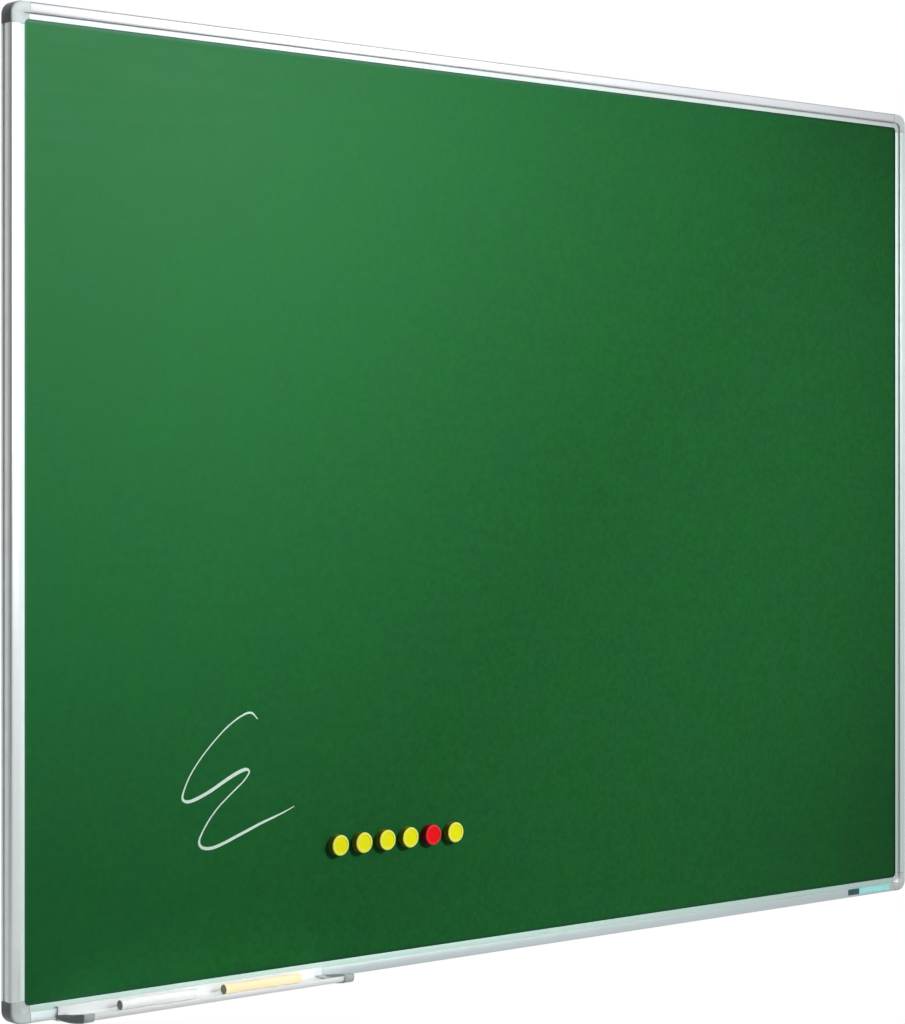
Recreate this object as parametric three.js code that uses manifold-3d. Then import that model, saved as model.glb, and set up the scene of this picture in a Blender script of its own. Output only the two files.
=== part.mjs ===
// Wall chalkboard: enamelled steel panel in an aluminium frame with moulded corners,
// a chalk tray that slides along the bottom rail, six magnets and two sticks of chalk.
// Millimetres, +Z up. The board faces -Y and its back lies on the plane Y = 0.
// The origin is the middle of the top rail's wall face.

import * as THREE from 'three';
import { mergeVertices } from 'three/addons/utils/BufferGeometryUtils.js';
import Module from 'manifold-3d';

const wasm = await Module();
wasm.setup();

// Board
const boardWidth = 1200;
const boardHeight = 900;

// Rail section: measured inward from the outer face and forward from the wall
const railDepth = 16;
const railFaceWidth = 15.5;
const railBandWidth = 10;
const railStepDrop = 2.4;
const railWall = 1.8;
const railEdgeRadius = 2.2;
const railEdgeSteps = 4;
const railLipThickness = 0.9;
const railWebThickness = 1.5;
const railSlotFloor = 7;
const rearFlangeWidth = 13;
const rearFlangeThickness = 1.4;
const wallFlangeWidth = 7.5;
const wallFlangeThickness = 1.4;
const gripGrooveStart = 3;
const gripGrooveWidth = 3.5;
const gripGrooveDepth = 0.9;
const shadowLineInset = 0.4;
const shadowLineWidth = 0.6;
const shadowLineDepth = 0.3;

// Panel, a sandwich of three sheets
const sheetThickness = 0.5;
const coreThickness = 6;
const backingThickness = 0.5;
const panelClearance = 0.3;

// Corner mouldings
const cornerLeg = 20;
const cornerOuterRadius = 12;
const cornerOuterSteps = 12;
const cornerStepRadius = 7;
const cornerLipRadius = 4.5;
const cornerInnerSteps = 8;
const cornerSeam = 0.3;
const tongueLength = 26;
const tongueTaper = 3;
const tongueTipInset = 0.8;
const tongueClearance = 0.25;
const tongueRoot = 4;
const cornerPocketDepth = 3;
const cornerPocketWall = 1.8;

// Wall hangers
const hangerInset = 150;
const hangerWidth = 44;
const hangerHeight = 27;
const hangerThickness = 1.5;
const hangerClearance = 0.3;
const hangerHoleRadius = 2.4;
const hangerHoleSpacing = 24;
const hangerHoleSegments = 24;

// Chalk tray: heights are measured up from the frame's lower edge
const trayLength = 300;
const trayInset = 45;
const trayWall = 1.2;
const trayReach = 63;
const trayLowLine = 30;
const trayLowUnderside = 1.7;
const trayFrontUnderside = 4.4;
const trayFloorSteps = 8;
const trayLipHeight = 6;
const trayFrontRadius = 4;
const trayFrontSteps = 6;
const trayFrontTurn = 80;
const trayClearance = 0.3;

// Tray end caps
const capLength = 11;
const capEndWall = 2.5;
const capOuterSkin = 0.8;
const capInnerSkin = 0.9;
const capClearance = 0.3;

// Magnets
const magnetCount = 6;
const redMagnet = 5;
const magnetRadius = 10;
const magnetThickness = 8;
const magnetPitch = 29.06;
const magnetRowInset = 363.4;
const magnetRowRise = 126.5;
const magnetFaceFillet = 1.2;
const magnetFilletSteps = 3;
const magnetFootChamfer = 0.4;
const magnetSegments = 36;
const discRadius = 8;
const discThickness = 3;
const discClearance = 0.2;

// Chalk
const chalkRadius = 4.6;
const chalkTipRadius = 4.1;
const chalkBevel = 1;
const chalkSegments = 24;
const chalkRestGap = 0.1;
const whiteChalkInset = 59;
const whiteChalkLength = 85;
const yellowChalkInset = 173;
const yellowChalkLength = 89;

// Depths and levels that follow from the sizes above
const lipFront = railDepth - railStepDrop;
const slotFront = lipFront - railLipThickness;
const panelThickness = sheetThickness + coreThickness + backingThickness;
const panelFront = slotFront - panelClearance;
const slotRear = panelFront - panelThickness - panelClearance;
const chamberInner = railSlotFloor - railWebThickness;
const chamberFront = railDepth - railWall;
const boardCentreDrop = boardHeight / 2 - wallFlangeWidth / 2;
const trayLeftEdge = trayInset - boardWidth / 2;
const trayLipTop = trayFrontUnderside + trayLipHeight;
const trayWallBack = railDepth + trayClearance;
const trayWallFront = trayWallBack + trayWall;
const trayFloorEnd = trayReach - trayFrontRadius - 1;

// Materials
function finish(color, roughness, metalness) {
  return new THREE.MeshStandardMaterial({ color, roughness, metalness });
}

const enamelGreen = '#2f7a45';
const coreBrown = '#b79c74';
const zincGrey = '#a9adae';
const anodisedSilver = '#cfd3d2';
const cornerGrey = '#a4adac';
const hangerZinc = '#b4b6b2';
const magnetYellow = '#f4ee1e';
const magnetRed = '#e31b23';
const ferriteBlack = '#2b2b2d';
const chalkWhite = '#f4f3ee';
const chalkYellow = '#f7e7a8';

// Outlines
function point(x, y) {
  return new THREE.Vector2(x, y);
}

function arc(centreX, centreY, radius, fromDegrees, toDegrees, steps) {
  const points = [];
  for (let i = 0; i <= steps; i += 1) {
    const angle = THREE.MathUtils.degToRad(fromDegrees + ((toDegrees - fromDegrees) * i) / steps);
    points.push(point(centreX + radius * Math.cos(angle), centreY + radius * Math.sin(angle)));
  }
  return points;
}

function rectangle(x0, y0, x1, y1) {
  return [point(x0, y0), point(x1, y0), point(x1, y1), point(x0, y1)];
}

function swapped(points) {
  return points.map((p) => point(p.y, p.x)).reverse();
}

// Solids
function prism(points, from, to, frame) {
  const geometry = new THREE.ExtrudeGeometry(new THREE.Shape(points), {
    depth: to - from,
    bevelEnabled: false,
  });
  geometry.translate(0, 0, from);
  return geometry.applyMatrix4(frame);
}

function toSolid(geometry) {
  const bare = geometry.clone();
  bare.deleteAttribute('normal');
  bare.deleteAttribute('uv');
  const merged = mergeVertices(bare);
  const triVerts = [];
  for (let i = 0; i < merged.index.count; i += 3) {
    const corners = [0, 1, 2].map((k) => merged.index.getX(i + k));
    if (new Set(corners).size === 3) {
      triVerts.push(...corners);
    }
  }
  return new wasm.Manifold(
    new wasm.Mesh({
      numProp: 3,
      vertProperties: new Float32Array(merged.attributes.position.array),
      triVerts: new Uint32Array(triVerts),
    }),
  );
}

function toGeometry(solid) {
  const mesh = solid.getMesh();
  const geometry = new THREE.BufferGeometry();
  geometry.setAttribute('position', new THREE.BufferAttribute(mesh.vertProperties, 3));
  geometry.setIndex(new THREE.BufferAttribute(mesh.triVerts, 1));
  geometry.computeVertexNormals();
  return geometry;
}

function piece(parent, name, geometry, material) {
  const mesh = new THREE.Mesh(geometry, material);
  mesh.name = name;
  parent.add(mesh);
  return mesh;
}

// Rail section (inward, forward) laid along X, and plan outlines (along, inward) raised forward
const sectionFrame = new THREE.Matrix4().makeBasis(
  new THREE.Vector3(0, 0, 1),
  new THREE.Vector3(0, -1, 0),
  new THREE.Vector3(1, 0, 0),
);
const planFrame = new THREE.Matrix4().makeBasis(
  new THREE.Vector3(1, 0, 0),
  new THREE.Vector3(0, 0, 1),
  new THREE.Vector3(0, -1, 0),
);

// Tray sections (forward, up) are laid along X as well, from their right end to their left
const trayFrame = new THREE.Matrix4().makeBasis(
  new THREE.Vector3(0, -1, 0),
  new THREE.Vector3(0, 0, 1),
  new THREE.Vector3(-1, 0, 0),
);

// Rails
function railSection() {
  const gripGrooveEnd = gripGrooveStart + gripGrooveWidth;
  const edgeStart = railDepth - railEdgeRadius;
  const shadowEnd = edgeStart - shadowLineInset;
  const shadowStart = shadowEnd - shadowLineWidth;
  const shape = new THREE.Shape([
    point(0, 0),
    point(0, gripGrooveStart),
    point(gripGrooveDepth, gripGrooveStart),
    point(gripGrooveDepth, gripGrooveEnd),
    point(0, gripGrooveEnd),
    point(0, shadowStart),
    point(shadowLineDepth, shadowStart),
    point(shadowLineDepth, shadowEnd),
    point(0, shadowEnd),
    ...arc(railEdgeRadius, edgeStart, railEdgeRadius, 180, 90, railEdgeSteps),
    point(railBandWidth, railDepth),
    point(railBandWidth, lipFront),
    point(railFaceWidth, lipFront),
    point(railFaceWidth, slotFront),
    point(railSlotFloor, slotFront),
    point(railSlotFloor, slotRear),
    point(rearFlangeWidth, slotRear),
    point(rearFlangeWidth, slotRear - rearFlangeThickness),
    point(railWall, slotRear - rearFlangeThickness),
    point(railWall, wallFlangeThickness),
    point(wallFlangeWidth, wallFlangeThickness),
    point(wallFlangeWidth, 0),
  ]);
  shape.holes.push(new THREE.Path(rectangle(railWall, slotRear, chamberInner, chamberFront)));
  return shape;
}

function railGeometry(sideLength) {
  const length = sideLength - 2 * (cornerLeg + cornerSeam);
  const geometry = new THREE.ExtrudeGeometry(railSection(), { depth: length, bevelEnabled: false });
  geometry.translate(0, 0, -length / 2);
  return geometry.applyMatrix4(sectionFrame);
}

// Corner mouldings: the plan starts at the frame's outer corner
function cornerOutline(inner, innerRadius) {
  const outer = arc(cornerOuterRadius, cornerOuterRadius, cornerOuterRadius, 270, 180, cornerOuterSteps);
  const fillet = innerRadius
    ? arc(inner + innerRadius, inner + innerRadius, innerRadius, 180, 270, cornerInnerSteps)
    : [point(inner, inner)];
  const start = innerRadius && inner + innerRadius >= cornerLeg ? [] : [point(inner, cornerLeg)];
  const end = innerRadius && inner + innerRadius >= cornerLeg ? [] : [point(cornerLeg, inner)];
  return [point(cornerLeg, 0), ...outer, point(0, cornerLeg), ...start, ...fillet, ...end];
}

function tongueOutline() {
  const near = railWall + tongueClearance;
  const far = chamberInner - tongueClearance;
  const root = cornerLeg - tongueRoot;
  const tip = cornerLeg + cornerSeam + tongueLength;
  return [
    point(root, near),
    point(tip - tongueTaper, near),
    point(tip, near + tongueTipInset),
    point(tip, far - tongueTipInset),
    point(tip - tongueTaper, far),
    point(root, far),
  ];
}

// A plate far larger than the corner, whose front edge is rounded as the rails' outer edge is
function roundedEnvelope() {
  const size = 2 * (cornerLeg + cornerSeam + tongueLength);
  const outline = [
    ...arc(cornerOuterRadius, cornerOuterRadius, cornerOuterRadius, 270, 180, cornerOuterSteps),
    point(0, size),
    point(size, size),
    point(size, 0),
  ];
  const straight = railDepth - railEdgeRadius;
  const geometry = new THREE.ExtrudeGeometry(new THREE.Shape(outline), {
    depth: 2 * straight,
    bevelEnabled: true,
    bevelThickness: railEdgeRadius,
    bevelSize: railEdgeRadius,
    bevelOffset: -railEdgeRadius,
    bevelSegments: railEdgeSteps,
  });
  geometry.translate(0, 0, -straight);
  return geometry.applyMatrix4(planFrame);
}

function cornerGeometry() {
  const layer = (outline, from, to) => toSolid(prism(outline, from, to, planFrame));
  const body = layer(cornerOutline(railSlotFloor, 0), 0, slotFront)
    .add(layer(cornerOutline(rearFlangeWidth, 0), slotRear - rearFlangeThickness, slotRear))
    .add(layer(cornerOutline(railFaceWidth, cornerLipRadius), slotFront, lipFront))
    .add(layer(cornerOutline(railBandWidth, cornerStepRadius), slotFront, railDepth))
    .intersect(toSolid(roundedEnvelope()));
  const tongueFrom = slotRear + tongueClearance;
  const tongueTo = chamberFront - tongueClearance;
  const pocket = rectangle(
    cornerOuterRadius,
    cornerPocketWall,
    cornerLeg - cornerPocketWall,
    railSlotFloor - cornerPocketWall,
  );
  return toGeometry(
    body
      .add(layer(tongueOutline(), tongueFrom, tongueTo))
      .add(layer(swapped(tongueOutline()), tongueFrom, tongueTo))
      .subtract(layer(pocket, -cornerPocketDepth, cornerPocketDepth))
      .subtract(layer(swapped(pocket), -cornerPocketDepth, cornerPocketDepth)),
  );
}

// Wall hangers: a joggled plate whose hook stands in the channel between the two rear flanges
function hangerGeometry() {
  const hookRear = wallFlangeThickness + hangerClearance;
  const hookTip = railWall + hangerClearance;
  const joggle = wallFlangeWidth + hangerClearance;
  const section = [
    point(hookTip, hookRear),
    point(joggle, hookRear),
    point(joggle, 0),
    point(hookTip + hangerHeight, 0),
    point(hookTip + hangerHeight, hangerThickness),
    point(joggle + hangerThickness, hangerThickness),
    point(joggle + hangerThickness, hookRear + hangerThickness),
    point(hookTip, hookRear + hangerThickness),
  ];
  let plate = toSolid(prism(section, -hangerWidth / 2, hangerWidth / 2, sectionFrame));
  const holeHeight = (joggle + hangerThickness + hookTip + hangerHeight) / 2;
  for (const side of [-1, 1]) {
    const hole = new THREE.CylinderGeometry(
      hangerHoleRadius,
      hangerHoleRadius,
      4 * hangerThickness,
      hangerHoleSegments,
    );
    hole.translate((side * hangerHoleSpacing) / 2, 0, holeHeight);
    plate = plate.subtract(toSolid(hole));
  }
  return toGeometry(plate);
}

// Chalk tray: one section that hooks over the rail's step and grips the groove under the rail.
// Its floor is a shallow curve, so sticks lie along its lowest line.
function trayUnderside(forward) {
  const run = trayReach - trayFrontRadius - trayLowLine;
  const rise = trayFrontUnderside - trayLowUnderside;
  return trayLowUnderside + rise * ((forward - trayLowLine) / run) ** 2;
}

function trayFloorLine(from, to, lift) {
  const line = [];
  for (let i = 0; i <= trayFloorSteps; i += 1) {
    const forward = from + ((to - from) * i) / trayFloorSteps;
    line.push(point(forward, trayUnderside(forward) + lift));
  }
  return line;
}

function trayFrontArc(radius, fromDegrees, toDegrees) {
  const centreForward = trayReach - trayFrontRadius;
  const centreUp = trayFrontUnderside + trayFrontRadius;
  return arc(centreForward, centreUp, radius, fromDegrees, toDegrees, trayFrontSteps);
}

function trayChannelGeometry() {
  const gripFrom = gripGrooveStart + trayClearance;
  const gripTo = gripGrooveStart + gripGrooveWidth - 2 * trayClearance;
  const gripTop = gripGrooveDepth - trayClearance;
  const hookUnderside = railBandWidth + trayClearance;
  const hookTip = lipFront + trayClearance;
  const section = [
    point(gripFrom, -trayClearance - trayWall),
    point(trayWallFront, -trayClearance - trayWall),
    ...trayFloorLine(trayWallFront, trayFloorEnd, 0),
    ...trayFrontArc(trayFrontRadius, -trayFrontTurn, 0),
    point(trayReach, trayLipTop),
    point(trayReach - trayWall, trayLipTop),
    ...trayFrontArc(trayFrontRadius - trayWall, 0, -trayFrontTurn),
    ...trayFloorLine(trayFloorEnd, trayWallFront, trayWall),
    point(trayWallFront, hookUnderside + trayWall),
    point(hookTip, hookUnderside + trayWall),
    point(hookTip, hookUnderside),
    point(trayWallBack, hookUnderside),
    point(trayWallBack, -trayClearance),
    point(gripTo, -trayClearance),
    point(gripTo, gripTop),
    point(gripFrom, gripTop),
  ];
  return prism(section, capEndWall, trayLength - capEndWall, trayFrame);
}

// Tray end cap: a sleeve over the channel's end, closed by a wedge that rises towards the front
function trayEndCapGeometry(openToLeft) {
  const rear = trayWallFront + capClearance;
  const cavityRear = trayWallFront - trayWall;
  const outer = capClearance + capOuterSkin;
  const inner = capClearance + capInnerSkin;
  const frontOutside = [
    ...trayFloorLine(rear, trayFloorEnd, -outer),
    ...trayFrontArc(trayFrontRadius + outer, -trayFrontTurn, 0),
    point(trayReach + outer, trayLipTop + inner),
    point(trayReach - trayWall - inner, trayLipTop + inner),
  ];
  const sleeve = [
    ...frontOutside,
    ...trayFrontArc(trayFrontRadius - trayWall - inner, 0, -trayFrontTurn),
    ...trayFloorLine(trayFloorEnd, rear, trayWall + inner),
  ];
  const wedge = [...frontOutside, point(rear, trayUnderside(rear) + trayWall + inner)];
  const cavity = [
    ...trayFloorLine(cavityRear, trayFloorEnd, -capClearance),
    ...trayFrontArc(trayFrontRadius + capClearance, -trayFrontTurn, 0),
    point(trayReach + capClearance, trayLipTop + capClearance),
    point(trayReach - trayWall - capClearance, trayLipTop + capClearance),
    ...trayFrontArc(trayFrontRadius - trayWall - capClearance, 0, -trayFrontTurn),
    ...trayFloorLine(trayFloorEnd, cavityRear, trayWall + capClearance),
  ];
  const wallEnd = capEndWall - capClearance;
  const wallFrom = openToLeft ? 0 : capLength - wallEnd;
  const cavityFrom = openToLeft ? wallEnd : -capLength;
  const cavityTo = openToLeft ? 2 * capLength : capLength - wallEnd;
  return toGeometry(
    toSolid(prism(sleeve, 0, capLength, trayFrame))
      .add(toSolid(prism(wedge, wallFrom, wallFrom + wallEnd, trayFrame)))
      .subtract(toSolid(prism(cavity, cavityFrom, cavityTo, trayFrame))),
  );
}

// Magnets: revolved about Y, from the face at the front to the foot on the panel
function magnetCapGeometry() {
  const profile = [
    point(0, -magnetThickness),
    ...arc(
      magnetRadius - magnetFaceFillet,
      magnetFaceFillet - magnetThickness,
      magnetFaceFillet,
      -90,
      0,
      magnetFilletSteps,
    ),
    point(magnetRadius, -magnetFootChamfer),
    point(magnetRadius - magnetFootChamfer, 0),
    point(discRadius + discClearance, 0),
    point(discRadius + discClearance, -discThickness),
    point(0, -discThickness),
  ];
  return new THREE.LatheGeometry(profile, magnetSegments);
}

function magnetDiscGeometry() {
  const disc = new THREE.CylinderGeometry(discRadius, discRadius, discThickness, magnetSegments);
  return disc.translate(0, -discThickness / 2, 0);
}

// Chalk: revolved about its length, then laid along X
function chalkGeometry(length) {
  const profile = [
    point(0, 0),
    point(chalkTipRadius, 0),
    point(chalkRadius, chalkBevel),
    point(chalkRadius, length - chalkBevel),
    point(chalkTipRadius, length),
    point(0, length),
  ];
  return new THREE.LatheGeometry(profile, chalkSegments).rotateZ(-Math.PI / 2);
}

// Assembly
const chalkboard = new THREE.Group();
const board = new THREE.Group();
board.position.z = -boardCentreDrop;
chalkboard.add(board);

function buildPanel(parent) {
  const halfWidth = boardWidth / 2 - railSlotFloor - panelClearance;
  const halfHeight = boardHeight / 2 - railSlotFloor - panelClearance;
  const outline = rectangle(-halfWidth, -halfHeight, halfWidth, halfHeight);
  const coreFront = panelFront - sheetThickness;
  const coreRear = coreFront - coreThickness;
  const layers = [
    ['writing_sheet', coreFront, panelFront, finish(enamelGreen, 0.45, 0)],
    ['panel_core', coreRear, coreFront, finish(coreBrown, 0.9, 0)],
    ['backing_sheet', coreRear - backingThickness, coreRear, finish(zincGrey, 0.5, 0.8)],
  ];
  for (const [name, from, to, material] of layers) {
    piece(parent, name, prism(outline, from, to, planFrame), material);
  }
}

// Each side is the bottom side turned about Y, and carries the corner at its own left end
function buildFrame(parent) {
  const aluminium = finish(anodisedSilver, 0.35, 0.9);
  const plastic = finish(cornerGrey, 0.55, 0);
  const corner = cornerGeometry();
  const sides = [
    ['bottom_rail', 'corner_bottom_left', boardWidth, boardHeight],
    ['left_rail', 'corner_top_left', boardHeight, boardWidth],
    ['top_rail', 'corner_top_right', boardWidth, boardHeight],
    ['right_rail', 'corner_bottom_right', boardHeight, boardWidth],
  ];
  sides.forEach(([railName, cornerName, length, across], quarterTurns) => {
    const side = new THREE.Group();
    side.rotation.y = (quarterTurns * Math.PI) / 2;
    parent.add(side);
    const rail = piece(side, railName, railGeometry(length), aluminium);
    rail.position.z = -across / 2;
    const moulding = piece(side, cornerName, corner, plastic);
    moulding.position.set(-length / 2, 0, -across / 2);
  });
}

function buildHangers(parent) {
  const zinc = finish(hangerZinc, 0.4, 0.9);
  const hanger = hangerGeometry();
  const rows = [
    ['bottom', 0, 1],
    ['top', Math.PI, -1],
  ];
  for (const [row, turn, direction] of rows) {
    for (const [end, sign] of [['left', -1], ['right', 1]]) {
      const side = new THREE.Group();
      side.rotation.y = turn;
      parent.add(side);
      const mesh = piece(side, `hanger_${row}_${end}`, hanger, zinc);
      mesh.position.set(sign * direction * (boardWidth / 2 - hangerInset), 0, -boardHeight / 2);
    }
  }
}

function buildTray(parent) {
  const tray = new THREE.Group();
  tray.position.set(trayLeftEdge + trayLength, 0, -boardHeight / 2);
  parent.add(tray);
  const plastic = finish(cornerGrey, 0.55, 0);
  piece(tray, 'tray_channel', trayChannelGeometry(), finish(anodisedSilver, 0.4, 0.9));
  piece(tray, 'tray_end_cap_right', trayEndCapGeometry(true), plastic);
  const left = piece(tray, 'tray_end_cap_left', trayEndCapGeometry(false), plastic);
  left.position.x = capLength - trayLength;
}

function buildMagnets(parent) {
  const capShape = magnetCapGeometry();
  const discShape = magnetDiscGeometry();
  const ferrite = finish(ferriteBlack, 0.6, 0.1);
  const rowStart = magnetRowInset - boardWidth / 2;
  const rowHeight = magnetRowRise - boardHeight / 2;
  for (let i = 1; i <= magnetCount; i += 1) {
    const magnet = new THREE.Group();
    magnet.position.set(rowStart + (i - 1) * magnetPitch, -panelFront, rowHeight);
    parent.add(magnet);
    const colour = i === redMagnet ? magnetRed : magnetYellow;
    piece(magnet, `magnet_cap_${i}`, capShape, finish(colour, 0.4, 0));
    piece(magnet, `magnet_disc_${i}`, discShape, ferrite);
  }
}

function buildChalk(parent) {
  const sticks = [
    ['chalk_white', whiteChalkInset, whiteChalkLength, chalkWhite],
    ['chalk_yellow', yellowChalkInset, yellowChalkLength, chalkYellow],
  ];
  const height = trayLowUnderside + trayWall + chalkRestGap + chalkRadius - boardHeight / 2;
  for (const [name, inset, length, colour] of sticks) {
    const stick = piece(parent, name, chalkGeometry(length), finish(colour, 0.95, 0));
    stick.position.set(trayLeftEdge + inset, -trayLowLine, height);
  }
}

buildPanel(board);
buildFrame(board);
buildHangers(board);
buildTray(board);
buildMagnets(board);
buildChalk(board);

export default chalkboard;
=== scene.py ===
"""Looks of a wall chalkboard: green vitreous enamel in a slim aluminium frame.

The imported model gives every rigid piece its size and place. This script dresses those pieces,
builds the finer magnets, chalk sticks, chalk line and blank label over them, and sets up
a plain studio with a camera at the photograph's angle. Everything is in metres, in the model's
own frame: +X to the right, +Y into the wall, +Z up.
"""

import logging
import math
from dataclasses import dataclass, replace
from enum import Enum
from typing import Any, Iterable, Optional, Sequence, Union

import bmesh
import bpy
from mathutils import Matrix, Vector, noise


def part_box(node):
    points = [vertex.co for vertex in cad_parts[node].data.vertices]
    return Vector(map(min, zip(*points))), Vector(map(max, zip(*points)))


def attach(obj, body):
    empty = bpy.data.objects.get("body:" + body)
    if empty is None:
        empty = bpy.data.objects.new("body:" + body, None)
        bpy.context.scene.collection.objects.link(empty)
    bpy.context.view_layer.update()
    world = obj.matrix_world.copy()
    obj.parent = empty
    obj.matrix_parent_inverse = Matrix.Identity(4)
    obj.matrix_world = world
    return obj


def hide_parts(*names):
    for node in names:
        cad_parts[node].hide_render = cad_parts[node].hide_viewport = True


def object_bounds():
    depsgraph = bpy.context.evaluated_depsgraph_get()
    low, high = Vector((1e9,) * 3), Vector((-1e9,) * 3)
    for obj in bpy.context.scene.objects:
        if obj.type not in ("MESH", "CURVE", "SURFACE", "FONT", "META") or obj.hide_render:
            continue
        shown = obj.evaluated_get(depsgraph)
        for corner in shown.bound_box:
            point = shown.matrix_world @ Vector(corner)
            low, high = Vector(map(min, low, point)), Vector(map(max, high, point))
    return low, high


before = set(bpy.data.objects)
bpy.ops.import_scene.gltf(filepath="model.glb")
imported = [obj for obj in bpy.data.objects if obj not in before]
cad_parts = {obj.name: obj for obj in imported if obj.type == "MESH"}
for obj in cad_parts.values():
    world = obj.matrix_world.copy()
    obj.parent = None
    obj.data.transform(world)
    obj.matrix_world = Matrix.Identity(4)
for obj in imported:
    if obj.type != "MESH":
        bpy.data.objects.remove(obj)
CAD_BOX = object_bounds()

LOG = logging.getLogger("chalkboard")
MM = 0.001
WHITE = (1.0, 1.0, 1.0, 1.0)
WHOLE = (0.0, 1.0)
NOISE_BAND = (0.3, 0.7)
MIX_FIRST, MIX_SECOND, MIX_RESULT = 6, 7, 2  # the mix node's colour sockets

Tree = bpy.types.NodeTree
Socket = bpy.types.NodeSocket
Pair = tuple[float, float]
Point = tuple[float, float, float]


class Grain(Enum):
    """The way in which a profile was extruded."""

    ALONG_X = "x"
    ALONG_Z = "z"


class ChalkTone(Enum):
    """The pigment of a chalk stick."""

    WHITE = "white"
    YELLOW = "yellow"


def linear(colour: str) -> tuple[float, float, float, float]:
    """Turns an sRGB hex colour into linear values.

    Args:
        colour: Six hex digits after a hash.

    Returns:
        Linear red, green, blue and an alpha of one.
    """
    channels = [int(colour[i : i + 2], 16) / 255 for i in (1, 3, 5)]
    r, g, b = (c / 12.92 if c <= 0.04045 else ((c + 0.055) / 1.055) ** 2.4 for c in channels)
    return r, g, b, 1.0


def per_metre(millimetres: float) -> float:
    """Returns the texture scale at which one pattern cell is that many millimetres wide."""
    return 1 / (millimetres * MM)


def add_node(
    tree: Tree,
    kind: str,
    settings: Optional[dict[str, Any]] = None,
    values: Optional[dict[Any, Any]] = None,
    links: Optional[dict[Any, Socket]] = None,
) -> bpy.types.Node:
    """Adds one node with its settings, socket values and incoming links.

    Args:
        tree: The node tree that takes the node.
        kind: The node's Blender type name.
        settings: Attributes of the node.
        values: Input socket values by socket name or number.
        links: Output sockets to link in, by input socket name or number.

    Returns:
        The new node.
    """
    node = tree.nodes.new(kind)
    for name, value in (settings or {}).items():
        setattr(node, name, value)
    for name, value in (values or {}).items():
        node.inputs[name].default_value = value
    for name, socket in (links or {}).items():
        tree.links.new(socket, node.inputs[name])
    return node


def maths(tree: Tree, operation: str, *terms: Union[float, Socket]) -> Socket:
    """Adds a sum of one or two terms.

    Args:
        tree: The node tree that takes the node.
        operation: The sum's Blender name.
        terms: Numbers, or sockets to link in.

    Returns:
        The result.
    """
    node = add_node(tree, "ShaderNodeMath", {"operation": operation})
    for entry, term in zip(node.inputs, terms):
        if isinstance(term, Socket):
            tree.links.new(term, entry)
        else:
            entry.default_value = term
    return node.outputs[0]


def dot(tree: Tree, place: Socket, direction: Sequence[float]) -> Socket:
    """Returns how far a place lies along a direction."""
    node = add_node(tree, "ShaderNodeVectorMath", {"operation": "DOT_PRODUCT"}, {1: direction}, {0: place})
    return node.outputs["Value"]


def map_range(tree: Tree, source: Socket, ends: Pair, band: Pair, curve: str = "LINEAR") -> Socket:
    """Maps a value onto a range and holds it there.

    Args:
        tree: The node tree that takes the node.
        source: The value.
        ends: Results at the low and the high end of the band.
        band: The stretch of the source that is used.
        curve: The node's interpolation.

    Returns:
        The mapped value.
    """
    limits = {"From Min": band[0], "From Max": band[1], "To Min": ends[0], "To Max": ends[1]}
    return add_node(
        tree, "ShaderNodeMapRange", {"interpolation_type": curve}, limits, {"Value": source}
    ).outputs[0]


@dataclass(frozen=True)
class Canvas:
    """A material's nodes while a finish draws its pattern.

    Attributes:
        tree: The material's node tree.
        shader: The principled shader.
        place: The object's own coordinates, in metres.
    """

    tree: Tree
    shader: bpy.types.Node
    place: Socket

    def feed(self, name: str, socket: Socket) -> None:
        """Links a result to one of the shader's inputs."""
        self.tree.links.new(socket, self.shader.inputs[name])

    def cells(self, cell_mm: Union[float, Point], detail: float = 2.0) -> Socket:
        """Adds noise whose cells have the given size.

        Args:
            cell_mm: Cell size in millimetres, one for all axes or one each along X, Y and Z.
            detail: Octaves of finer noise.

        Returns:
            The noise value, from 0 to 1 about a mean of one half.
        """
        sizes = cell_mm if isinstance(cell_mm, tuple) else (cell_mm,) * 3
        mapping = add_node(
            self.tree,
            "ShaderNodeMapping",
            values={"Scale": [per_metre(c) for c in sizes]},
            links={"Vector": self.place},
        )
        field = add_node(
            self.tree,
            "ShaderNodeTexNoise",
            values={"Scale": 1.0, "Detail": detail, "Roughness": 0.55},
            links={"Vector": mapping.outputs[0]},
        )
        return field.outputs[0]

    def spread(self, source: Socket, ends: Pair, band: Pair = NOISE_BAND) -> Socket:
        """Maps noise, or a measure with its own band, onto a range."""
        return map_range(self.tree, source, ends, band)

    def mix(self, factor: Socket, first: Union[str, Socket], second: str) -> Socket:
        """Mixes two colours.

        Args:
            factor: From 0, all first, to 1, all second.
            first: An sRGB hex colour or a colour socket.
            second: An sRGB hex colour.

        Returns:
            The mixed colour.
        """
        node = add_node(self.tree, "ShaderNodeMix", {"data_type": "RGBA"}, links={"Factor": factor})
        node.inputs[MIX_SECOND].default_value = linear(second)
        if isinstance(first, str):
            node.inputs[MIX_FIRST].default_value = linear(first)
        else:
            self.tree.links.new(first, node.inputs[MIX_FIRST])
        return node.outputs[MIX_RESULT]

    def away(self, axis: str, centre: float) -> Socket:
        """Measures the distance from a plane.

        Args:
            axis: The axis that crosses the plane.
            centre: The plane's place on it, in metres.

        Returns:
            The distance, in metres.
        """
        along = add_node(self.tree, "ShaderNodeSeparateXYZ", links={0: self.place}).outputs[axis]
        return maths(self.tree, "ABSOLUTE", maths(self.tree, "SUBTRACT", along, centre))

    def relief(self, height: Socket, depth_mm: float, strength: float) -> None:
        """Bumps the surface by a height field.

        Args:
            height: A value from 0 to 1.
            depth_mm: Real height of the full range, in millimetres.
            strength: Share of the bump that is used.
        """
        bump = add_node(
            self.tree,
            "ShaderNodeBump",
            values={"Strength": strength, "Distance": depth_mm * MM},
            links={"Height": height},
        )
        self.feed("Normal", bump.outputs[0])


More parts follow.
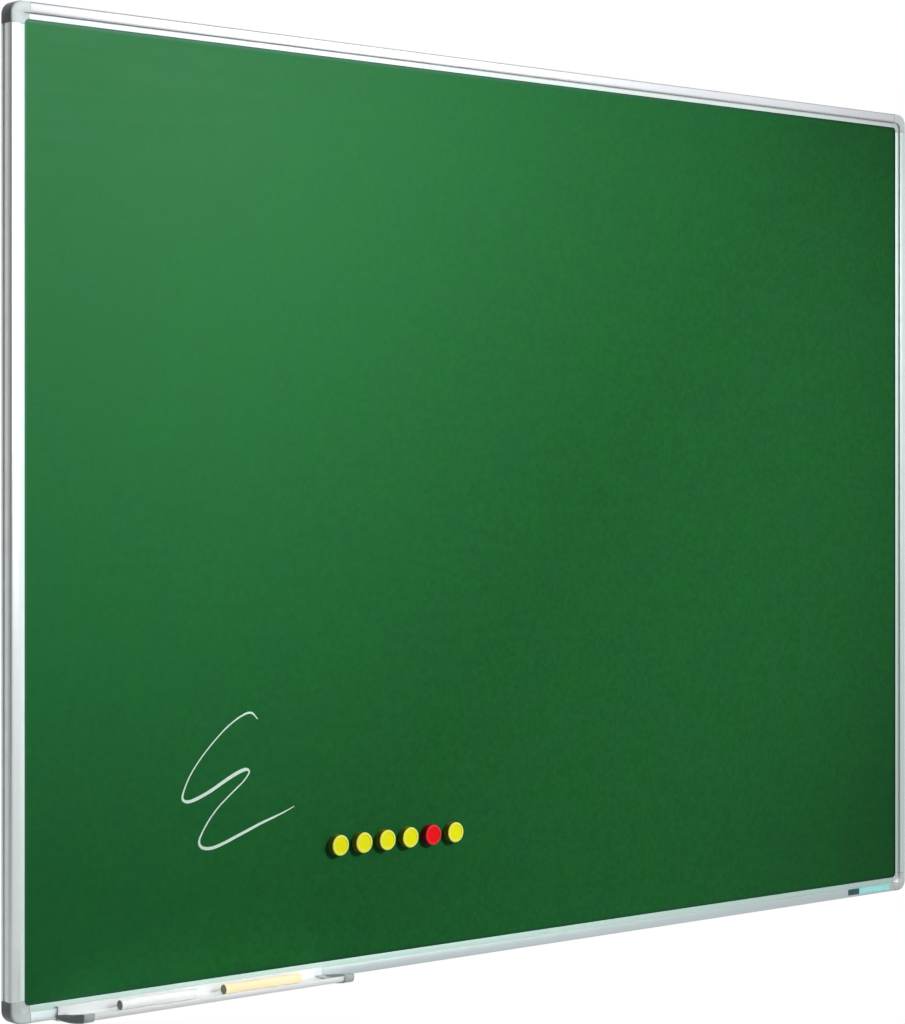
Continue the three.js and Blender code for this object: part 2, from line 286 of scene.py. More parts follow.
@dataclass(frozen=True)
class Finish:
    """What every finish shares: a name and a shader with uniform values on its own sockets.

    Attributes:
        name: The material's name.
        colour: Main sRGB colour.
        roughness: Mean roughness.
        metallic: One for a bare metal.
        ior: Index of refraction of a non-metal.
        specular: Strength of the surface reflection, where one half is a clean skin.
        second_colour: Colour that grain, wear or dirt brings in.
        shares: Shares of that colour at the low and the high end of its noise.
        band: Stretch of that noise that is used.
        swing: Roughness added at the low and the high end of the gloss's noise.
        relief_mm: Height of the relief.
        bump: Share of the relief that is used.
    """

    name: str
    colour: str
    roughness: float
    metallic: float = 0.0
    ior: float = 1.5
    specular: float = 0.5
    second_colour: str = "#ffffff"
    shares: Pair = WHOLE
    band: Pair = NOISE_BAND
    swing: Pair = (0.0, 0.0)
    relief_mm: float = 0.0
    bump: float = 0.5

    def build(self) -> bpy.types.Material:
        """Makes the material.

        Returns:
            A new material whose pattern comes from the subclass.
        """
        material = bpy.data.materials.new(self.name)
        material.use_nodes = True
        tree = material.node_tree
        tree.nodes.clear()
        shader = add_node(
            tree,
            "ShaderNodeBsdfPrincipled",
            values={
                "Base Color": linear(self.colour),
                "Roughness": self.roughness,
                "Metallic": self.metallic,
                "IOR": self.ior,
                "Specular IOR Level": self.specular,
            },
        )
        add_node(tree, "ShaderNodeOutputMaterial", links={"Surface": shader.outputs[0]})
        place = add_node(tree, "ShaderNodeTexCoord").outputs["Object"]
        self.pattern(Canvas(tree, shader, place))
        return material

    def pattern(self, canvas: Canvas) -> None:
        """Adds the finish's own colour, roughness and relief to the canvas."""
        raise NotImplementedError

    def tone(self, canvas: Canvas, grain: Socket) -> Socket:
        """Returns the finish's two colours, mixed by a noise field."""
        return canvas.mix(canvas.spread(grain, self.shares, self.band), self.colour, self.second_colour)

    def gloss(self, canvas: Canvas, grain: Socket, band: Pair = NOISE_BAND) -> Socket:
        """Returns the roughness, swung about its mean by a noise field."""
        low, high = self.swing
        return canvas.spread(grain, (self.roughness + low, self.roughness + high), band)

    def lay(
        self, canvas: Canvas, tone: Socket, gloss: Optional[Socket] = None, height: Optional[Socket] = None
    ) -> None:
        """Feeds the shader with what varies.

        Args:
            canvas: The material's nodes.
            tone: The finished colour.
            gloss: The finished roughness, where it isn't uniform.
            height: Noise of the relief, where there is one.
        """
        canvas.feed("Base Color", tone)
        if gloss is not None:
            canvas.feed("Roughness", gloss)
        if height is not None:
            canvas.relief(height, self.relief_mm, self.bump)


@dataclass(frozen=True)
class VitreousEnamel(Finish):
    """Matt green vitreous enamel, sprayed on steel and fired at about 800 degrees.

    The eye sees an even green with a soft sheen, faint clouds where the slurry was thicker,
    and the haze of chalk dust that wiping leaves. The second colour is that of the thinner
    patches. Painted light pales the sheet toward the upper left, and painted shade darkens
    a band along the frame.

    Attributes:
        dust_and_shade_colour: Colour of the wiped-in dust.
        dust_share: Most of that dust.
        edge_shade_colour: Colour of the painted shade in a band along the frame, where the lip shades the
            sheet.
        speckle_colour: Colour of the fine darker specks in the glaze.
        speckle_share: Most of that colour.
        cloud_mm: Size of the clouds.
        speckle_mm: Size of a speck, drawn coarser than the real 0.5 mm so that it shows.
        peel_mm: Size of the orange peel, drawn coarser than the real 1 mm so that it shows.
        wipe_mm: Length and width of the marks that a cloth leaves.
        opening: Half width, half height and middle height of the visible sheet, in metres.
        edge_mm: Width of the painted shade along the frame.
        edge_fade_mm: How far it fades on either side of that width.
        edge_lip_reflection: Paler grey of a painted reflection of the lip, laid on the painted edge shade.
        lip_reflection_share: Most of that painted reflection, where the painted light is strongest.
        painted_light_colour: Paler colour of the painted light toward the upper left.
        painted_light_share: Share of that colour where the painted light is strongest, at the upper left.
        painted_light_slope: Rise of the painted light to the left and up, over half the sheet.
        painted_light_reach: How far below and above the middle's level the painted light starts and is full.
    """

    second_colour: str = "#1b6031"
    shares: Pair = (0.0, 0.8)
    swing: Pair = (-0.02, 0.03)
    relief_mm: float = 0.02
    dust_and_shade_colour: str = "#8fb39a"
    dust_share: float = 0.006
    edge_shade_colour: str = "#1d4f36"
    speckle_colour: str = "#0c3d17"
    speckle_share: float = 0.3
    cloud_mm: float = 45.0
    speckle_mm: float = 5.0
    peel_mm: float = 2.2
    wipe_mm: Pair = (160.0, 12.0)
    opening: Point = (0.5, 0.5, 0.0)
    edge_mm: float = 3.0
    edge_fade_mm: Pair = (0.6, 1.8)
    edge_lip_reflection: str = "#8aa4ae"
    lip_reflection_share: float = 0.45
    painted_light_colour: str = "#329251"
    painted_light_share: float = 0.6
    painted_light_slope: Pair = (0.62, 0.42)
    painted_light_reach: Pair = (0.1, 1.05)

    def painted_light(self, canvas: Canvas) -> Socket:
        """Marks how far painted light pales the sheet.

        Args:
            canvas: The sheet's nodes.

        Returns:
            Nothing at the lower right, rising to the full share at the upper left.
        """
        half_width, half_height, middle = self.opening
        (left, up), (below, above) = self.painted_light_slope, self.painted_light_reach
        slope = dot(canvas.tree, canvas.place, (-left / half_width, 0.0, up / half_height))
        level = up * middle / half_height
        return canvas.spread(slope, (0.0, self.painted_light_share), (level - below, level + above))

    def rim(self, canvas: Canvas) -> Socket:
        """Marks the band of painted shade along the frame.

        Args:
            canvas: The sheet's nodes.

        Returns:
            One within the band and nothing inside it.
        """
        half_width, half_height, middle = self.opening
        before, beyond = self.edge_fade_mm
        bands = []
        for axis, centre, half in (("X", 0.0, half_width), ("Z", middle, half_height)):
            inner = half - self.edge_mm * MM
            stretch = (inner - before * MM, inner + beyond * MM)
            bands.append(canvas.spread(canvas.away(axis, centre), WHOLE, stretch))
        return maths(canvas.tree, "MAXIMUM", *bands)

    def pattern(self, canvas: Canvas) -> None:
        """Adds clouds, wiped dust, painted edge shade, painted light, a painted lip reflection, uneven sheen
        and orange peel.
        """
        length, width = self.wipe_mm
        clouds = canvas.cells(self.cloud_mm, 4.0)
        wiped = canvas.cells((length, length, width), 3.0)
        peel = canvas.cells(self.peel_mm, 1.0)
        speckle = canvas.cells(self.speckle_mm)
        rim, painted_light = self.rim(canvas), self.painted_light(canvas)
        tone = self.tone(canvas, clouds)
        tone = canvas.mix(canvas.spread(speckle, (0.0, self.speckle_share)), tone, self.speckle_colour)
        # painted shade: a darker band along the frame's inner edge
        tone = canvas.mix(rim, tone, self.edge_shade_colour)
        # painted light: the sheet turns paler toward the upper left
        tone = canvas.mix(painted_light, tone, self.painted_light_colour)
        tone = canvas.mix(canvas.spread(wiped, (0.0, self.dust_share)), tone, self.dust_and_shade_colour)
        # painted reflection: the pale lip greys the painted edge shade toward the upper left
        lip_reflection = canvas.spread(maths(canvas.tree, "MULTIPLY", rim, painted_light), (0.0, self.lip_reflection_share), WHOLE)
        self.lay(canvas, canvas.mix(lip_reflection, tone, self.edge_lip_reflection), self.gloss(canvas, wiped), peel)


@dataclass(frozen=True)
class AnodisedAluminium(Finish):
    """Extruded aluminium, etched matt and anodised natural silver.

    The die leaves faint lines along the profile, and the etch a fine satin that spreads
    highlights across them. The second colour is the tone of the darker lines.

    Attributes:
        grain: The way the profile was extruded.
        line_mm: Width of a die line, drawn coarser than the real 0.1 mm so that it shows.
        line_length_mm: Length over which a line keeps its tone.
        satin_mm: Size of the satin's patches.
        lip: Middle and half length of the span between the raised bands, in metres, or nothing.
        lip_reflection_colour: Tone of the thin lip there, a painted reflection of the green sheet.
        lip_dulling: Roughness that chalk dust adds on the lip.
        lip_fade_mm: How far the lip's tone fades on either side of its border.
        shade_lines: Height, in metres, and width, in mm, of each line of painted shade.
        dust_and_shade_colour: Its colour.
        shade_line_shares: Least and most of it along the line.
        shade_patch_mm: Size of the patches in it.
    """

    second_colour: str = "#cddbd8"
    shares: Pair = (0.0, 0.8)
    swing: Pair = (-0.04, 0.05)
    relief_mm: float = 0.012
    bump: float = 0.6
    grain: Grain = Grain.ALONG_X
    line_mm: float = 0.5
    line_length_mm: float = 260.0
    satin_mm: float = 14.0
    lip: Optional[Pair] = None
    lip_reflection_colour: str = "#e0f0ea"
    lip_dulling: float = 0.0
    lip_fade_mm: float = 0.1
    shade_lines: tuple[Pair, ...] = ()
    dust_and_shade_colour: str = "#b2b1b6"
    shade_line_shares: Pair = (0.7, 1.0)
    shade_patch_mm: Point = (35.0, 4.0, 4.0)

    def shade_line(self, canvas: Canvas, level: float, width_mm: float) -> Socket:
        """Marks a line of painted shade along an edge, broken into patches.

        Args:
            canvas: The rail's nodes.
            level: Height of the line, in metres.
            width_mm: Its width.

        Returns:
            From zero on clean metal to nearly one in the line, uneven along its length.
        """
        half = width_mm * MM / 2
        line = canvas.spread(canvas.away("Z", level), (1.0, 0.0), (half * 0.5, half * 1.5))
        patches = canvas.spread(canvas.cells(self.shade_patch_mm, 3.0), self.shade_line_shares)
        return maths(canvas.tree, "MULTIPLY", line, patches)

    def pattern(self, canvas: Canvas) -> None:
        """Adds die lines in colour, roughness and relief, the lip's painted reflection and lines of painted
        shade.
        """
        along_x = self.grain is Grain.ALONG_X
        width, length = self.line_mm, self.line_length_mm
        lines = canvas.cells((length, width, width) if along_x else (width, width, length), 3.0)
        tone, rough = self.tone(canvas, lines), self.gloss(canvas, canvas.cells(self.satin_mm, 3.0))
        if self.lip is not None:
            centre, reach = self.lip
            fade = self.lip_fade_mm * MM
            distance = canvas.away("Z" if along_x else "X", centre)
            inside = canvas.spread(distance, (1.0, 0.0), (reach - fade, reach + fade))
            # painted reflection: the lip tinted by the green sheet beside it
            tone = canvas.mix(inside, tone, self.lip_reflection_colour)
            rough = maths(canvas.tree, "ADD", rough, canvas.spread(inside, (0.0, self.lip_dulling), WHOLE))
        # painted shade: darker lines along the band's foot and the frame's upper edge
        for level, width_mm in self.shade_lines:
            tone = canvas.mix(self.shade_line(canvas, level, width_mm), tone, self.dust_and_shade_colour)
        self.lay(canvas, tone, rough, lines)


@dataclass(frozen=True)
class MouldedPlastic(Finish):
    """Injection-moulded ABS with a fine spark-eroded skin.

    It looks matt and even, with a slightly paler second colour where handling has polished it.

    Attributes:
        skin_mm: Size of the eroded grain, drawn coarser than the real 0.05 mm.
        patch_mm: Size of the handled patches.
    """

    second_colour: str = "#d9e4e4"
    swing: Pair = (0.05, -0.06)
    relief_mm: float = 0.03
    skin_mm: float = 0.35
    patch_mm: float = 9.0

    def pattern(self, canvas: Canvas) -> None:
        """Adds the eroded skin and the polished patches."""
        skin, patches = canvas.cells(self.skin_mm), canvas.cells(self.patch_mm, 3.0)
        self.lay(canvas, self.tone(canvas, patches), self.gloss(canvas, patches), skin)


@dataclass(frozen=True)
class ZincSheet(Finish):
    """Hot-dip galvanised steel sheet.

    The frozen zinc shows crystal flakes, each with its own tone and gloss. The second colour
    is the tone of the darkest ones.

    Attributes:
        flake_mm: Size of a zinc flake.
    """

    second_colour: str = "#8d9394"
    swing: Pair = (-0.08, 0.1)
    flake_mm: float = 11.0

    def pattern(self, canvas: Canvas) -> None:
        """Adds the zinc flakes, whose edges a coarser noise bends."""
        jitter = canvas.cells(self.flake_mm * 2, 3.0)
        shifted = add_node(
            canvas.tree,
            "ShaderNodeVectorMath",
            {"operation": "MULTIPLY_ADD"},
            {1: (self.flake_mm * MM,) * 3},
            {0: jitter, 2: canvas.place},
        )
        flakes = add_node(
            canvas.tree,
            "ShaderNodeTexVoronoi",
            values={"Scale": per_metre(self.flake_mm)},
            links={"Vector": shifted.outputs[0]},
        )
        level = add_node(canvas.tree, "ShaderNodeSeparateColor", links={0: flakes.outputs["Color"]})
        tone = canvas.mix(level.outputs[0], self.colour, self.second_colour)
        self.lay(canvas, tone, self.gloss(canvas, level.outputs[1], WHOLE))


@dataclass(frozen=True)
class ZincPlate(Finish):
    """Pressed steel strip, bright zinc plated, with the passivation's stains as second colour.

    Attributes:
        scratch_mm: Length and width of the rolling scratches.
        stain_mm: Size of the stains.
    """

    second_colour: str = "#a9a892"
    shares: Pair = (0.0, 0.6)
    swing: Pair = (-0.08, 0.08)
    relief_mm: float = 0.01
    bump: float = 0.4
    scratch_mm: Pair = (30.0, 0.3)
    stain_mm: float = 12.0

    def pattern(self, canvas: Canvas) -> None:
        """Adds rolling scratches and faint yellow stains."""
        length, width = self.scratch_mm
        scratches, stains = canvas.cells((length, width, width)), canvas.cells(self.stain_mm, 3.0)
        self.lay(canvas, self.tone(canvas, stains), self.gloss(canvas, scratches), scratches)


@dataclass(frozen=True)
class Fibreboard(Finish):
    """Pressed wood-fibre core, raw at its cut edge, with darker bundles as second colour.

    Attributes:
        fibre_mm: Length and thickness of a fibre bundle.
    """

    second_colour: str = "#8c7350"
    relief_mm: float = 0.15
    bump: float = 0.7
    fibre_mm: Pair = (6.0, 0.6)

    def pattern(self, canvas: Canvas) -> None:
        """Adds the layers of fibre bundles."""
        length, thickness = self.fibre_mm
        fibres = canvas.cells((length, thickness, length), 4.0)
        self.lay(canvas, self.tone(canvas, fibres), height=fibres)


@dataclass(frozen=True)
class GlossPlastic(Finish):
    """Glossy moulded polystyrene of the magnet caps.

    The mould gives a bright skin, and use adds hair scratches and a slight fading to the
    second colour.

    Attributes:
        fading_mm: Size of the faded patches.
        scratch_mm: Width and height of the scratched patches.
    """

    second_colour: str = "#faf60a"
    shares: Pair = (0.0, 0.5)
    swing: Pair = (-0.05, 0.12)
    relief_mm: float = 0.015
    bump: float = 0.4
    fading_mm: float = 7.0
    scratch_mm: Pair = (1.6, 6.4)

    def pattern(self, canvas: Canvas) -> None:
        """Adds fading and scratched patches."""
        width, height = self.scratch_mm
        fading, scuffs = canvas.cells(self.fading_mm), canvas.cells((width, width, height), 3.0)
        self.lay(canvas, self.tone(canvas, fading), self.gloss(canvas, scuffs), scuffs)


@dataclass(frozen=True)
class Ferrite(Finish):
    """Sintered ferrite, dark grey with a granular face and brighter grains as second colour.

    Attributes:
        grit_mm: Size of the sintered grit.
    """

    second_colour: str = "#4a4a4c"
    relief_mm: float = 0.08
    bump: float = 0.8
    grit_mm: float = 0.5

    def pattern(self, canvas: Canvas) -> None:
        """Adds the sintered grit."""
        grit = canvas.cells(self.grit_mm, 3.0)
        self.lay(canvas, self.tone(canvas, grit), height=grit)


@dataclass(frozen=True)
class PressedChalk(Finish):
    """Pressed gypsum chalk: dead matt, powdery, with tiny pits in the second colour.

    Attributes:
        pit_mm: Size of a pit.
        rubbed_mm: Size of the rubbed patches.
        rubbed_share: Most of the second colour in them.
    """

    second_colour: str = "#dcdad2"
    shares: Pair = (0.9, 0.0)
    relief_mm: float = 0.12
    bump: float = 0.8
    pit_mm: float = 0.9
    rubbed_mm: Point = (8.0, 3.0, 3.0)
    rubbed_share: float = 0.3

    def pattern(self, canvas: Canvas) -> None:
        """Adds pits and rubbed patches."""
        pits, rubbed = canvas.cells(self.pit_mm, 4.0), canvas.cells(self.rubbed_mm)
        share = canvas.spread(rubbed, (0.0, self.rubbed_share))
        self.lay(canvas, canvas.mix(share, self.tone(canvas, pits), self.second_colour), height=pits)


@dataclass(frozen=True)
class ChalkMark(Finish):
    """Chalk rubbed off on enamel: powder on the high spots, green showing between them.

    Attributes:
        grain_mm: Size of a grain of powder, drawn coarser than the real 0.1 mm.
    """

    second_colour: str = "#93dcb0"
    shares: Pair = (1.0, 0.0)
    band: Pair = (0.28, 0.46)
    relief_mm: float = 0.06
    bump: float = 0.6
    grain_mm: float = 0.7

    def pattern(self, canvas: Canvas) -> None:
        """Adds the broken grain of the powder."""
        grain = canvas.cells(self.grain_mm, 3.0)
        self.lay(canvas, self.tone(canvas, grain), height=grain)


@dataclass(frozen=True)
class PrintedFoil(Finish):
    """Plain printed polyester foil of the blank label, rubbed to the second colour.

    Attributes:
        rubbed_mm: Size of the rubbed patches.
    """

    second_colour: str = "#a8ece8"
    shares: Pair = (0.0, 0.6)
    swing: Pair = (-0.05, 0.1)
    rubbed_mm: Point = (6.0, 6.0, 2.0)

    def pattern(self, canvas: Canvas) -> None:
        """Adds rubbed ink and a slightly uneven gloss."""
        rubbed = canvas.cells(self.rubbed_mm, 3.0)
        self.lay(canvas, self.tone(canvas, rubbed), self.gloss(canvas, rubbed))


def put_in_scene(
    name: str, mesh: bmesh.types.BMesh, skins: Sequence[bpy.types.Material], sharp_degrees: float = 35.0
) -> bpy.types.Object:
    """Turns built geometry into a smooth-shaded object with crisp arrises.

    Args:
        name: The piece's name.
        mesh: The built geometry, which is freed.
        skins: The piece's materials.
        sharp_degrees: Edges that turn by more than this stay crisp.

    Returns:
        The new object.
    """
    bmesh.ops.recalc_face_normals(mesh, faces=mesh.faces)
    for face in mesh.faces:
        face.smooth = True
    limit = math.radians(sharp_degrees)
    for edge in mesh.edges:
        edge.smooth = len(edge.link_faces) == 2 and edge.calc_face_angle(0.0) < limit
    data = bpy.data.meshes.new(name)
    mesh.to_mesh(data)
    mesh.free()
    for skin in skins:
        data.materials.append(skin)
    piece = bpy.data.objects.new(name, data)
    bpy.context.scene.collection.objects.link(piece)
    LOG.info("built %s", name)
    return piece


def join_rings(
    mesh: bmesh.types.BMesh, rings: Sequence[Sequence[bmesh.types.BMVert]], ends: bool = False
) -> None:
    """Skins a row of vertex rings, where a ring of one vertex is a pole.

    Args:
        mesh: The geometry that takes the faces.
        rings: Rings in order, each closed on itself.
        ends: Whether the first and the last ring are closed by a face.
    """
    for near, far in zip(rings, rings[1:]):
        count = max(len(near), len(far))
        for i in range(count):
            j = (i + 1) % count
            corners = [near[i % len(near)], near[j % len(near)], far[j % len(far)], far[i % len(far)]]
            mesh.faces.new(list(dict.fromkeys(corners)))
    if ends:
        mesh.faces.new(rings[0])
        mesh.faces.new(rings[-1])


def arc(centre: Pair, radius: float, start: float, sweep: float, steps: int) -> list[Pair]:
    """Returns points along an arc.

    Args:
        centre: Its middle.
        radius: Its radius.
        start: Where it starts, in degrees.
        sweep: How far it turns, in degrees.
        steps: Its number of facets.
    """
    turns = [math.radians(start + sweep * step / steps) for step in range(steps + 1)]
    return [(centre[0] + radius * math.cos(turn), centre[1] + radius * math.sin(turn)) for turn in turns]


def smooth_group(degrees: float) -> Tree:
    """Makes the modifier's nodes that shade a solid smooth up to an angle.

    Args:
        degrees: Edges that turn by more than this stay crisp.

    Returns:
        A geometry node group.
    """
    group = bpy.data.node_groups.new(f"smooth_below_{degrees:g}_degrees", "GeometryNodeTree")
    for flow in ("INPUT", "OUTPUT"):
        group.interface.new_socket("Geometry", in_out=flow, socket_type="NodeSocketGeometry")
    source = add_node(group, "NodeGroupInput")
    bare = add_node(
        group,
        "GeometryNodeRemoveAttribute",
        values={"Name": "custom_normal"},
        links={"Geometry": source.outputs[0]},
    )
    angle = add_node(group, "GeometryNodeInputMeshEdgeAngle")
    gentle = add_node(
        group,
        "FunctionNodeCompare",
        {"data_type": "FLOAT", "operation": "LESS_THAN"},
        {1: math.radians(degrees)},
        {0: angle.outputs[0]},
    )
    smooth = "GeometryNodeSetShadeSmooth"
    faces = add_node(group, smooth, {"domain": "FACE"}, {"Shade Smooth": True}, {"Geometry": bare.outputs[0]})
    edges = add_node(
        group,
        smooth,
        {"domain": "EDGE"},
        links={"Geometry": faces.outputs[0], "Shade Smooth": gentle.outputs[0]},
    )
    add_node(group, "NodeGroupOutput", links={0: edges.outputs[0]})
    return group


@dataclass
class Workshop:
    """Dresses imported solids: welds their facets, breaks their arrises and shades them.

    Attributes:
        weld_mm: Facet corners closer than this become one.
        crease_degrees: Edges that turn by more than this stay crisp.
        arris_facets: Facets across a broken edge.
        shading: The shared shading modifier's nodes.
    """

    weld_mm: float = 0.004
    crease_degrees: float = 32.0
    arris_facets: int = 2
    shading: Optional[Tree] = None

    def dress(self, names: Iterable[str], material: bpy.types.Material, arris_mm: float = 0.0) -> None:
        """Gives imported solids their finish.

        Args:
            names: The nodes' names.
            material: Their finish.
            arris_mm: Width of the broken edge, or nothing.
        """
        if self.shading is None:
            self.shading = smooth_group(self.crease_degrees)
        for name in names:
            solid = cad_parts[name]
            for slot in solid.material_slots:
                slot.material = material
            weld = solid.modifiers.new("weld", "WELD")
            weld.merge_threshold = self.weld_mm * MM
            if arris_mm:
                arris = solid.modifiers.new("arris", "BEVEL")
                arris.width = arris_mm * MM
                arris.segments = self.arris_facets
                arris.limit_method = "ANGLE"
                arris.angle_limit = math.radians(self.crease_degrees)
            shade = solid.modifiers.new("shade", "NODES")
            shade.node_group = self.shading
            LOG.info("dressed %s in %s", name, material.name)


@dataclass
class Panel:
    """The writing panel: enamelled steel on a fibreboard core, with a zinc sheet behind.

    Attributes:
        frame_mm: Width of the frame that covers the sheet's edge.
        enamel: Finish of the writing sheet.
        core: Finish of the core.
        backing: Finish of the rear sheet.
    """

    frame_mm: float = 15.5
    enamel: VitreousEnamel = VitreousEnamel("matt_green_vitreous_enamel", "#19652b", 0.42, specular=0.05)
    core: Finish = Fibreboard("pressed_wood_fibreboard", "#b79c74", 0.9, ior=1.45)
    backing: Finish = ZincSheet("hot_dip_galvanised_sheet", "#b9bebf", 0.42, metallic=1.0)

    def build(self, workshop: Workshop) -> None:
        """Dresses the panel's three layers."""
        head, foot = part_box("top_rail")[1].z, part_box("bottom_rail")[0].z
        covered = self.frame_mm * MM
        opening = (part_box("right_rail")[1].x - covered, (head - foot) / 2 - covered, (head + foot) / 2)
        workshop.dress(["writing_sheet"], replace(self.enamel, opening=opening).build())
        workshop.dress(["panel_core"], self.core.build())
        workshop.dress(["backing_sheet"], self.backing.build())


@dataclass
class ChalkFlourish:
    """A chalk zigzag on the enamel, thin where the stick was pulled and thick where it was pushed.

    Attributes:
        knots: Points along the line: right and up from the board's middle, and width, in mm.
        steps: Samples from one knot to the next.
        least_mm: Least width between knots.
        powder_mm: Thickness of the powder.
        ragged: Share of the width by which the edges wander.
        wander_per_mm: Cells of that wandering along a millimetre.
        edge_seeds: Make each edge wander in its own way.
        chalk: Finish of the line.
    """

    knots: tuple[Point, ...] = (
        (-330, -197, 0.8), (-338, -190.5, 2.0), (-350, -193.5, 1.6), (-366, -203, 1.4),
        (-382, -216.5, 1.3), (-396, -230.5, 1.3), (-407, -244.5, 1.4), (-414, -258, 1.7),
        (-415.5, -265.5, 2.4), (-410.5, -268.5, 2.9), (-401, -267, 3.1), (-384, -260.5, 3.2),
        (-367, -252, 3.3), (-353, -245.8, 3.4), (-343.5, -243.4, 2.9), (-340, -246.5, 1.7),
        (-347, -254.7, 1.4), (-361.5, -265.5, 1.4), (-376, -277, 1.4), (-387, -289, 1.5),
        (-395, -301, 1.8), (-397, -308, 2.4), (-393, -312.5, 2.9), (-384, -313.7, 3.0),
        (-372, -311.2, 2.9), (-350, -303.7, 2.8), (-327, -295.6, 2.4), (-303, -288.3, 1.5),
        (-287, -282.5, 0.7),
    )
    steps: int = 10
    least_mm: float = 0.4
    powder_mm: float = 0.12
    ragged: float = 0.12
    wander_per_mm: float = 0.7
    edge_seeds: Pair = (3.1, 7.7)
    chalk: Finish = ChalkMark("white_chalk_line", "#e8fff3", 0.95, ior=1.45)

    def samples(self) -> list[tuple[Vector, float]]:
        """Returns points and widths along a smooth line through the knots."""
        ends = [self.knots[0], *self.knots, self.knots[-1]]
        line = []
        for a, b, c, d in zip(ends, ends[1:], ends[2:], ends[3:]):
            for step in range(self.steps):
                t = step / self.steps
                u, v, width = (
                    q
                    + 0.5 * (r - p) * t
                    + 0.5 * (2 * p - 5 * q + 4 * r - s) * t**2
                    + 0.5 * (3 * q - p - 3 * r + s) * t**3
                    for p, q, r, s in zip(a, b, c, d)
                )
                line.append((Vector((u, v)), max(width, self.least_mm)))
        u, v, width = self.knots[-1]
        line.append((Vector((u, v)), width))
        return line

    def build(self) -> bpy.types.Object:
        """Builds the line as a thin closed layer on the writing sheet.

        Returns:
            The chalk line.
        """
        low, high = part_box("writing_sheet")
        middle = (low + high) / 2
        top, under = low.y - self.powder_mm * MM, low.y + 0.5 * self.powder_mm * MM
        line = self.samples()
        mesh = bmesh.new()
        rings = []
        for i, (point, width) in enumerate(line):
            ahead = line[min(i + 1, len(line) - 1)][0] - line[max(i - 1, 0)][0]
            side = Vector((-ahead.y, ahead.x)).normalized()
            spots = []
            for sign, seed in zip((1, -1), self.edge_seeds):
                cell = Vector((point.x * self.wander_per_mm, point.y * self.wander_per_mm, seed))
                wander = noise.noise(cell)
                spots.append(point + side * sign * width * 0.5 * (1 + self.ragged * wander))
            ring = [(spots[0], under), (spots[0], top), (spots[1], top), (spots[1], under)]
            rings.append(
                [mesh.verts.new((middle.x + p.x * MM, depth, middle.z + p.y * MM)) for p, depth in ring]
            )
        join_rings(mesh, rings, ends=True)
        piece = put_in_scene("chalk_flourish", mesh, [self.chalk.build()])
        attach(piece, "board")
        return piece


@dataclass
class RailFrame:
    """Four extruded rails plugged into four moulded corners.

    Attributes:
        along: Finish of the horizontal rails.
        upright: Finish of the vertical rails.
        corner: Finish of the corners.
        pale_tone: Colour of the right-hand corners, paler as painted light.
        arris_mm: Broken edge of rails and corners.
        band_mm: Width of the rail's raised band.
        step_shade_mm: Width of the painted shade line along the band's foot.
        edge_shade_mm: Gap from the frame's upper edge to the painted shade line there, and its width.
    """

    along: AnodisedAluminium = AnodisedAluminium(
        "anodised_aluminium_along_x", "#e9ecf1", 0.42, metallic=0.45, second_colour="#e2e6e9"
    )
    upright: AnodisedAluminium = AnodisedAluminium(
        "anodised_aluminium_along_z",
        "#f2f8f8",
        0.42,
        metallic=0.6,
        second_colour="#e4ebeb",
        grain=Grain.ALONG_Z,
    )
    corner: MouldedPlastic = MouldedPlastic("light_grey_moulded_abs", "#d0dcdb", 0.5, ior=1.54, specular=0.3)
    pale_tone: str = "#eff8f8"
    arris_mm: float = 0.2
    band_mm: float = 10.0
    step_shade_mm: float = 2.8
    edge_shade_mm: Pair = (0.5, 1.6)

    def build(self, workshop: Workshop) -> None:
        """Dresses the rails and corners."""
        head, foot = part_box("top_rail")[1].z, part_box("bottom_rail")[0].z
        band = self.band_mm * MM
        across = replace(self.along, lip=((head + foot) / 2, (head - foot) / 2 - band))
        upright = replace(self.upright, lip=(0.0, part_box("right_rail")[1].x - band))
        gap_mm, edge_mm = self.edge_shade_mm
        # painted shade: the top rail takes dark lines at the band's foot and its upper edge
        shaded_top = replace(
            across,
            name="anodised_aluminium_painted_step_shade",
            metallic=0.3,
            shade_lines=((head - band, self.step_shade_mm), (head - gap_mm * MM, edge_mm)),
        )
        # painted shade: a darker copy of the rail finish for the bottom rail
        shaded_bottom = replace(
            across,
            name="anodised_aluminium_painted_shade_bottom",
            colour="#c9d5d7",
            second_colour="#c3ced0",
            lip_reflection_colour="#b9d2c9",
            metallic=0.8,
        )
        # painted light: a copy of the rail finish with a paler lip for the lit left rail
        lit_left = replace(
            upright,
            name="anodised_aluminium_painted_light_left",
            lip_reflection_colour="#f0fbf8",
            lip_dulling=0.5,
        )
        # painted shade: a darker copy of the rail finish for the right rail
        shaded_right = replace(
            upright,
            name="anodised_aluminium_painted_shade_right",
            colour="#e1ecec",
            second_colour="#d4e0e0",
            lip_reflection_colour="#d3e5de",
        )
        for side, finish in (("top", shaded_top), ("bottom", shaded_bottom), ("left", lit_left), ("right", shaded_right)):
            workshop.dress([f"{side}_rail"], finish.build(), self.arris_mm)
        # painted light: a paler copy of the corner plastic for the right-hand corners
        lit_corners = replace(
            self.corner, name="grey_moulded_abs_painted_light", colour=self.pale_tone, second_colour="#f6fbfb"
        )
        for side, finish in (("left", self.corner), ("right", lit_corners)):
            corners = [f"corner_{row}_{side}" for row in ("top", "bottom")]
            workshop.dress(corners, finish.build(), self.arris_mm)


